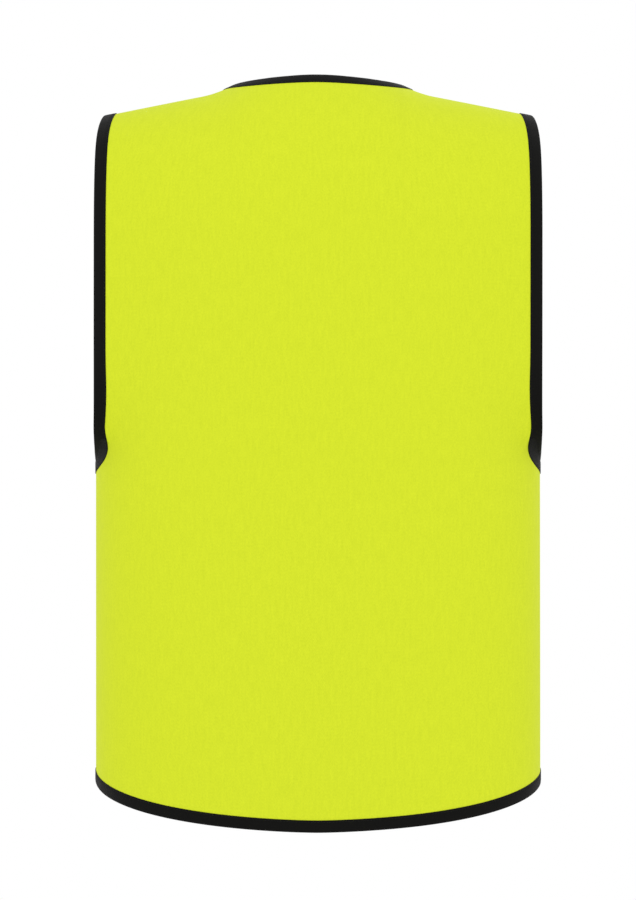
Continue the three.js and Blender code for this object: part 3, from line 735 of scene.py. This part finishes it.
def woven_black(name, low, high, rib, bump_height, lengthwise):
    """Black woven tape: ribs across its length, crossed by fine warp lines, with lint-grey variation."""
    material, tree, surface = shader(name, low, 0.92, Sheen_Weight=0.06, Specular_IOR_Level=0.12)
    uv, along, over = uv_axes(tree)
    first, second = (along, over) if lengthwise else (over, along)
    slant = maths(tree, "ADD", first, maths(tree, "MULTIPLY", second, 0.5))
    weave = maths(tree, "MULTIPLY", ridges(tree, slant, rib), ridges(tree, second, rib * 1.6))
    lint = mottle(tree, uv, 420, 3)
    shade = maths(tree, "ADD", maths(tree, "MULTIPLY", weave, 0.55), maths(tree, "MULTIPLY", lint, 0.45))
    tint(tree, surface, shade, low, high)
    bump(tree, surface, weave, bump_height, 0.8)
    return material


def thread(name, color):
    material, tree, surface = shader(name, color, 0.75, Sheen_Weight=0.05, Specular_IOR_Level=0.15)
    coordinates = node(tree, "ShaderNodeTexCoord")
    twist = mottle(tree, coordinates.outputs["Object"], 2600, 1)
    darker = tuple(0.7 * part for part in color)
    tint(tree, surface, twist, darker, tuple(min(1, 1.15 * part) for part in color))
    bump(tree, surface, twist, 0.05 * MM)
    return material


def moulded_plastic():
    """Black acetal with a fine moulded grain and paler worn spots."""
    material, tree, surface = shader("zip_acetal", (0.012, 0.012, 0.012), 0.38, Specular_IOR_Level=0.22)
    coordinates = node(tree, "ShaderNodeTexCoord")
    grain = mottle(tree, coordinates.outputs["Object"], 1800, 3)
    wear = mottle(tree, coordinates.outputs["Object"], 160, 4)
    tint(tree, surface, wear, (0.006, 0.006, 0.0065), (0.016, 0.016, 0.0165))
    tree.links.new(maths(tree, "MULTIPLY_ADD", wear, 0.25, 0.28), surface.inputs["Roughness"])
    bump(tree, surface, grain, 0.03 * MM, 0.5)
    return material


def painted_zinc():
    """Black paint on a zinc casting, a little orange-peeled and rubbed grey on its high spots."""
    material, tree, surface = shader("slider_paint", (0.02, 0.02, 0.021), 0.34,
                                     Specular_IOR_Level=0.3, Coat_Weight=0.12, Coat_Roughness=0.2)
    coordinates = node(tree, "ShaderNodeTexCoord")
    peel = mottle(tree, coordinates.outputs["Object"], 900, 2)
    rubbed = mottle(tree, coordinates.outputs["Object"], 330, 5)
    tint(tree, surface, rubbed, (0.008, 0.008, 0.0085), (0.028, 0.028, 0.029))
    bump(tree, surface, peel, 0.03 * MM, 0.6)
    return material


def spring_steel():
    material, tree, surface = shader("lock_spring_steel", (0.62, 0.63, 0.65), 0.28, Metallic=1.0)
    coordinates = node(tree, "ShaderNodeTexCoord")
    brushing = mottle(tree, coordinates.outputs["Object"], 900, 3, (8, 1, 1))
    tint(tree, surface, brushing, (0.45, 0.46, 0.48), (0.72, 0.73, 0.75))
    bump(tree, surface, brushing, 0.02 * MM, 0.5)
    return material


def label_satin():
    """Blank white satin: long warp floats with a soft sheen."""
    material, tree, surface = shader("label_satin", (0.82, 0.82, 0.79), 0.42, Sheen_Weight=0.3)
    uv, across, up = uv_axes(tree)
    floats = maths(tree, "MULTIPLY", ridges(tree, across, 0.35 * MM), ridges(tree, up, 1.1 * MM))
    slubs = mottle(tree, uv, 500, 2, (1, 0.1, 1))
    tint(tree, surface, maths(tree, "MULTIPLY_ADD", slubs, 0.5, 0.5), (0.72, 0.72, 0.69), (0.88, 0.88, 0.85))
    bump(tree, surface, floats, 0.05 * MM, 0.5)
    return material


KNIT = knitted_cloth()
BINDING = woven_black("binding_weave", low=(0.0016, 0.0016, 0.0013), high=(0.0052, 0.0051, 0.0044),
                      rib=0.55 * MM, bump_height=0.09 * MM, lengthwise=True)
TAPE = woven_black("zip_tape_weave", low=(0.0055, 0.0053, 0.0051), high=(0.014, 0.0135, 0.013),
                   rib=0.8 * MM, bump_height=0.12 * MM, lengthwise=False)
BLACK_THREAD = thread("black_thread", (0.0075, 0.0073, 0.0068))
YELLOW_THREAD = thread("yellow_thread", (0.66, 0.78, 0.03))
WHITE_THREAD = thread("white_thread", (0.80, 0.80, 0.77))
ACETAL = moulded_plastic()
PAINT = painted_zinc()
STEEL = spring_steel()
SATIN = label_satin()

# ---------------------------------------------------------------- cloth pieces

BLENDS = {
    "front_left": ("back", "front_left"),
    "front_right": ("back", "front_right"),
}


def hold(piece, body, crosses=False):
    """Attaches the piece to its body, except that a piece crossing into a body listed in BLENDS is left
    unattached, with its placing baked into its mesh.
    """
    if body in BLENDS and crosses:
        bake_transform(piece)
    else:
        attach(piece, body)


def finished(piece, body, nodes=(), crosses=False):
    if nodes:
        piece.name = f"{nodes[0]}_detailed"
    hold(piece, body, crosses)
    if nodes:
        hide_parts(*nodes)
    return piece


def thread_lines(edge, reach, height):
    """A line of stitches on each face of the cloth, that far in from the edge."""
    points, normals = edge.on_cloth(reach)
    inset = slice(2, -2)
    outer = (points[inset] + normals[inset] * height, normals[inset])
    inner = (points[inset] - normals[inset] * height, -normals[inset])
    return [outer, inner]


def bound_sheet(sheet, body, panel_name, bindings, crosses):
    """A panel with a binding and its two lines of stitches on each bound edge."""
    edges = {name: Edge(sheet, where, 1 * MM) for name, where in bindings}
    tucks = [(edge.cells, edge.cell_inwards) for edge in edges.values()]
    cloth, area = panel(panel_name, sheet, tucks, KNIT)
    strips = []
    for name, edge in edges.items():
        strip = binding(name, edge, BINDING)
        lines = thread_lines(edge, STITCH_LINE * edge.widening, THREAD_ON_BINDING)
        stitches = repeated(f"{name}_stitches", lines, STITCH, STITCH_PITCH, BLACK_THREAD)
        strips.append((strip, stitches, name))
    finished(cloth, body, [panel_name], crosses)
    for strip, stitches, name in strips:
        finished(strip, body, [name], crosses)
        finished(stitches, body, (), crosses)


STITCH = stitch_unit(STITCH_LENGTH, THREAD)
BACK = back_sheet()
FRONTS = {"left": front_sheet(1), "right": front_sheet(-1)}

bound_sheet(BACK, "back", "back_panel", [
    ("neck_binding_back", "neck_top"),
    ("armhole_binding_right_back", "armhole_first"),
    ("armhole_binding_left_back", "armhole_last"),
    ("hem_binding_back", "hem"),
], False)

for side_name, sheet in FRONTS.items():
    bound_sheet(sheet, f"front_{side_name}", f"front_panel_{side_name}", [
        (f"neck_binding_{side_name}", "neck_front"),
        (f"armhole_binding_{side_name}_front", "armhole_last"),
        (f"hem_binding_{side_name}", "hem"),
    ], True)

# ---------------------------------------------------------------- seams between the back and the fronts


def side_line(across, ups, offset, mirrored):
    """A line on the cloth's outer face at one across, with the direction that its stitches' tops face."""
    flat = np.full_like(ups, across)
    here = cloth_points(flat, ups)
    towards = cloth_points(flat - np.sign(across) * 0.004, ups) - here
    upward = cloth_points(flat, ups + 0.5 * MM) - here
    normal = np.cross(towards, upward) * -np.sign(across)
    normal /= np.linalg.norm(normal, axis=1, keepdims=True)
    if mirrored:
        here, normal = here * (1, -1, 1), normal * (1, -1, 1)
    return here + normal * offset, normal


def shoulder_rows(low_x, high_x, offset):
    """Lines just behind and just before the shoulder seam, on both shoulders."""
    lines = []
    for side in (1, -1):
        for mirrored in (1, -1):
            x = np.linspace(low_x, high_x, 40)
            across = x / SHOULDER_HALF_WIDTH
            ups = np.full_like(across, CLOTH_TOP - SHOULDER_SEAM_ROW)
            here = cloth_points(side * across, ups)
            over = cloth_points(side * across, ups - MM) - here
            along = np.gradient(here, axis=0)
            normal = np.cross(along, over)
            normal *= np.sign(normal[:, 2:3])
            normal /= np.linalg.norm(normal, axis=1, keepdims=True)
            turned = np.array([1, mirrored, 1])
            lines.append(((here + normal * offset) * turned, normal * turned))
    return lines


def seam_stitches():
    """Rows of yellow thread on each side of the side seams and the shoulder seams."""
    lines = []
    for side in (1, -1):
        for mirrored in (False, True):
            across = side * (1 - SIDE_SEAM_ROW / SIDE_HALF_WIDTH)
            ups = np.linspace(HEM_SIDE + BINDING_WIDTH, ARMHOLE_BOTTOM - BINDING_WIDTH, 120)
            lines.append(side_line(across, ups, THREAD_ON_CLOTH, mirrored))
    lines += shoulder_rows(SHOULDER_ROW_START, SHOULDER_HALF_WIDTH - SHOULDER_ROW_END, THREAD_ON_CLOTH)
    rows = repeated("seam_stitches", lines, STITCH, STITCH_PITCH, YELLOW_THREAD)
    finished(rows, "back")


seam_stitches()

# ---------------------------------------------------------------- labels


def label(name, across, up, flat):
    """A satin label that lies on the inside of the back. Returns the stitches' lines along two of its sides."""
    middle = cloth_points(across, up)
    inwards = -grid_normals(middle)
    if np.dot(inwards[0, 0], middle[0, 0] - (0, 0, middle[0, 0, 2])) > 0:
        inwards = -inwards
    face = middle + inwards * (CLOTH / 2 + 0.55 * MM)
    under = middle + inwards * (CLOTH / 2 + 0.2 * MM)
    columns, rows = across.shape
    over = np.linspace(0, flat[0], columns)[:, None] + np.zeros((1, rows))
    rise = np.linspace(0, flat[1], rows)[None, :] + np.zeros((columns, 1))
    mesh = closed_sheet(name, (face, under), False, np.stack([over, rise], axis=-1))
    piece = finished(place(mesh, name, SATIN), "back", [name])
    return [(face[1:-1, k] + inwards[1:-1, k] * 0.1 * MM, inwards[1:-1, k]) for k in (1, rows - 2)]


def up_below_neckline(x, reach):
    """The up value at x that lies that far along the cloth below the back neckline."""
    across = np.full(80, abs(x) / SHOULDER_HALF_WIDTH)
    ups = np.linspace(float(neckline(np.array(abs(x)))), ROLL_START, 80)
    points = cloth_points(across, ups)
    lengths = np.concatenate([[0], np.cumsum(np.linalg.norm(np.diff(points, axis=0), axis=1))])
    return np.interp(reach, lengths, ups)


def neck_label():
    xs = np.linspace(-NECK_LABEL[0] / 2, NECK_LABEL[0] / 2, 21)
    reach = np.linspace(NECK_LABEL_DROP, NECK_LABEL_DROP + NECK_LABEL[1], 13)
    up = np.array([up_below_neckline(x, reach) for x in xs])
    across = np.repeat((xs / SHOULDER_HALF_WIDTH)[:, None], len(reach), 1)
    return label("neck_label", across, up, NECK_LABEL)


def care_label():
    across = np.repeat(np.linspace(*CARE_LABEL_ACROSS, 13)[:, None], 23, 1)
    up = np.repeat(np.linspace(CARE_LABEL_FOOT, CARE_LABEL_FOOT + CARE_LABEL[1], 23)[None, :], 13, 0)
    return label("care_label", across, up, CARE_LABEL)


def labels():
    rows = repeated("label_stitches", neck_label() + care_label(), STITCH, STITCH_PITCH, WHITE_THREAD)
    finished(rows, "back")


labels()

# ---------------------------------------------------------------- zip


def waisted(shape):
    """A slider is broad at its shoulders, where the two chains come in, and narrower at its foot."""
    foot = min(vertex.co.z for vertex in shape.verts)
    top = max(vertex.co.z for vertex in shape.verts)
    middle = (min(vertex.co.x for vertex in shape.verts) + max(vertex.co.x for vertex in shape.verts)) / 2
    cuts = [foot + (top - foot) * share for share in (0.35, 0.7)]
    for height in cuts:
        every = shape.verts[:] + shape.edges[:] + shape.faces[:]
        bmesh.ops.bisect_plane(shape, geom=every, plane_co=(0, 0, height), plane_no=(0, 0, 1))
    for vertex in shape.verts:
        share = (vertex.co.z - foot) / (top - foot)
        width = 0.8 + 0.2 * float(smoothstep(share, 0.1, 0.85))
        vertex.co.x = middle + (vertex.co.x - middle) * width


def softened(node_name, radius, material, body, reshape=None):
    """A moulded or cast piece of the CAD with its edges rounded off."""
    shape = bmesh.new()
    shape.from_mesh(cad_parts[node_name].data)
    bmesh.ops.remove_doubles(shape, verts=shape.verts, dist=1e-6)
    if reshape:
        reshape(shape)
    bmesh.ops.dissolve_limit(shape, angle_limit=math.radians(2), verts=shape.verts, edges=shape.edges)
    corners = [edge for edge in shape.edges if edge.calc_face_angle(0) > math.radians(25)]
    bmesh.ops.bevel(shape, geom=corners, offset=radius, segments=3, profile=0.6, affect="EDGES",
                    clamp_overlap=True)
    mesh = bpy.data.meshes.new(node_name)
    shape.to_mesh(mesh)
    shape.free()
    mesh.shade_smooth()
    piece = place(mesh, node_name, material)
    evened = piece.modifiers.new("even_shading", "WEIGHTED_NORMAL")
    evened.keep_sharp = False
    finished(baked(piece, node_name, material), body, [node_name])


def tape_section():
    """A flat woven band whose inner edge is wound round a cord: reach from the vest's middle, and height."""
    cord = [(9.85 + 1.15 * math.cos(t), 1.15 * math.sin(t)) for t in np.linspace(0.5, 2 * math.pi - 0.5, 15)]
    band = [(11.6, -0.36), (13, -0.38), (20, -0.38), (26.9, -0.38), (27.25, -0.2), (27.25, 0.2), (26.9, 0.38),
            (20, 0.38), (13, 0.38), (11.6, 0.36)]
    return [(reach * MM, height * MM) for reach, height in cord + band]


def zip_tape(side_name, side):
    node_name = f"zip_tape_{side_name}"
    tape_low, tape_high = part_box(node_name)
    plane = (tape_low.y + tape_high.y) / 2
    section = tape_section()
    heights = np.linspace(tape_low.z, tape_high.z, 125)
    ring = np.array([[(side * reach, plane + height, z) for reach, height in section] for z in heights])
    tape = place(swept(node_name, ring, heights, section), node_name, TAPE)
    finished(tape, f"front_{side_name}", [node_name])


def tooth_unit():
    """One moulded tooth: a block clamped on the cord, a neck, and a head that hooks between two others."""
    half = [(1.0, 0.0), (1.0, 2.3), (0.58, 2.7), (0.58, 3.0), (0.92, 3.35), (0.82, 3.9), (0.45, 4.1)]
    outline = half + [(-along, reach) for along, reach in half[::-1]]
    levels = [(-1.3, 0.86), (-1.1, 1.0), (1.1, 1.0), (1.3, 0.86)]
    vertices = []
    for height, share in levels:
        vertices += [(along * share * MM, (2.05 + (reach - 2.05) * share) * MM, height * MM)
                     for along, reach in outline]
    count = len(outline)
    faces = [list(range(count))[::-1], list(range(3 * count, 4 * count))]
    for level in range(3):
        for k in range(count):
            after = (k + 1) % count
            base = level * count
            faces.append([base + k, base + after, base + count + after, base + count + k])
    mesh = bpy.data.meshes.new("tooth_unit")
    mesh.from_pydata(vertices, [], faces)
    fix_outwards(mesh)
    mesh.shade_flat()
    return unit_object("tooth_unit", mesh)


def zip_teeth(side_name, side, unit):
    """The unit's reach runs from the back of the cord towards the middle of the vest."""
    node_name = f"zip_teeth_{side_name}"
    teeth_low, teeth_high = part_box(node_name)
    plane = (teeth_low.y + teeth_high.y) / 2
    first = teeth_low.z + 1 * MM
    last = first + int((teeth_high.z - 1 * MM - first) / TOOTH_PITCH) * TOOTH_PITCH
    spare = 0.01 * MM                # keeps the tooth at the far end on the line
    heights = [first, last + spare] if side > 0 else [last, first - spare]
    points = np.array([[side * 11 * MM, plane, z] for z in heights])
    facing = np.array([[0, -1, 0]] * 2, float)
    teeth = repeated(node_name, [(points, facing)], unit, TOOTH_PITCH, ACETAL)
    teeth.data.shade_flat()
    finished(teeth, f"front_{side_name}", [node_name])


def zip_topstitch(side_name, side):
    """Two rows that hold the tape to the cloth: long stitches outside on the cloth and inside on the tape."""
    tape_low, tape_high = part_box(f"zip_tape_{side_name}")
    lines = []
    for reach in ZIP_ROWS:
        ups = np.linspace(HEM_FRONT + BINDING_WIDTH + 2 * MM, V_BOTTOM - 5 * MM, 30)
        across = across_at(np.full_like(ups, reach), ups)
        outside = cloth_points(side * across, ups) * (1, -1, 1)
        facing = np.array([[0, -1, 0]] * len(ups), float)
        lines.append((outside + facing * THREAD_ON_CLOTH, facing))
        inside = outside.copy()
        inside[:, 1] = tape_high.y + 0.06 * MM
        lines.append((inside, -facing))
    rows = repeated(f"zip_topstitch_{side_name}", lines, STITCH, STITCH_PITCH, YELLOW_THREAD)
    finished(rows, f"front_{side_name}")


TOOTH = tooth_unit()
for side_name, side in [("left", 1), ("right", -1)]:
    zip_tape(side_name, side)
    zip_teeth(side_name, side, TOOTH)
    zip_topstitch(side_name, side)
    softened(f"zip_top_stop_{side_name}", 0.45 * MM, ACETAL, f"front_{side_name}")
softened("zip_box", 0.5 * MM, ACETAL, "front_left")
softened("zip_insertion_pin", 0.4 * MM, ACETAL, "front_right")
softened("zip_slider_body", 0.4 * MM, PAINT, "slider", waisted)
softened("zip_slider_bridge", 0.3 * MM, PAINT, "slider")
softened("zip_lock_spring", 0.08 * MM, STEEL, "slider")
softened("zip_pull", 0.3 * MM, PAINT, "pull")

# ---------------------------------------------------------------- camera, light and floor

low, high = (Vector(corner) for corner in cad_box)
centre = (low + high) / 2
CAMERA_DISTANCE = 3.5
VIEW_HEIGHT = 0.9                # height of what the camera sees at the shoulder seams
VIEW_MIDDLE = 0.381              # the camera's height over the lowest level of the hem
SENSOR_HEIGHT = 36
FLOOR_RADIUS = 1.6
FLOOR_DROP = 0.35                # floor below the hem


def aim_camera():
    data = bpy.data.cameras.new("camera")
    data.sensor_fit = "VERTICAL"
    data.sensor_height = SENSOR_HEIGHT
    data.lens = SENSOR_HEIGHT * CAMERA_DISTANCE / VIEW_HEIGHT
    camera = bpy.data.objects.new("camera", data)
    camera.location = (0, CAMERA_DISTANCE, VIEW_MIDDLE - ORIGIN_HEIGHT)
    camera.rotation_euler = (math.pi / 2, 0, math.pi)
    bpy.context.collection.objects.link(camera)
    bpy.context.scene.camera = camera


def area_light(name, location, size, power):
    data = bpy.data.lights.new(name, "AREA")
    data.shape = "SQUARE"
    data.size = size
    data.energy = power
    lamp = bpy.data.objects.new(name, data)
    lamp.location = location
    lamp.rotation_euler = (centre - Vector(location)).to_track_quat("-Z", "Y").to_euler()
    bpy.context.collection.objects.link(lamp)


def pale_floor():
    shape = bmesh.new()
    bmesh.ops.create_circle(shape, cap_ends=True, segments=96, radius=FLOOR_RADIUS)
    mesh = bpy.data.meshes.new("floor")
    shape.to_mesh(mesh)
    shape.free()
    mesh.transform(Matrix.Translation((0, 0, low.z - FLOOR_DROP)))
    material, _, _ = shader("floor_paper", (0.9, 0.9, 0.9), 0.9)
    floor = place(mesh, "floor", material)


def studio():
    world = bpy.data.worlds.new("studio")
    world.use_nodes = True
    world.node_tree.nodes["Background"].inputs["Color"].default_value = (1, 1, 1, 1)
    world.node_tree.nodes["Background"].inputs["Strength"].default_value = 1.0
    bpy.context.scene.world = world
    bpy.context.scene.view_settings.view_transform = "Standard"
    area_light("key", location=(1.4, 3.0, 1.4), size=1.8, power=14)
    area_light("fill", location=(-1.8, 2.6, 0.4), size=1.8, power=8)
    area_light("front_key", location=(-1.4, -3.0, 1.4), size=1.8, power=14)


aim_camera()
studio()
pale_floor()

# ---------------------------------------------------------------- close

for unit in [STITCH, TOOTH]:
    bpy.data.objects.remove(unit)
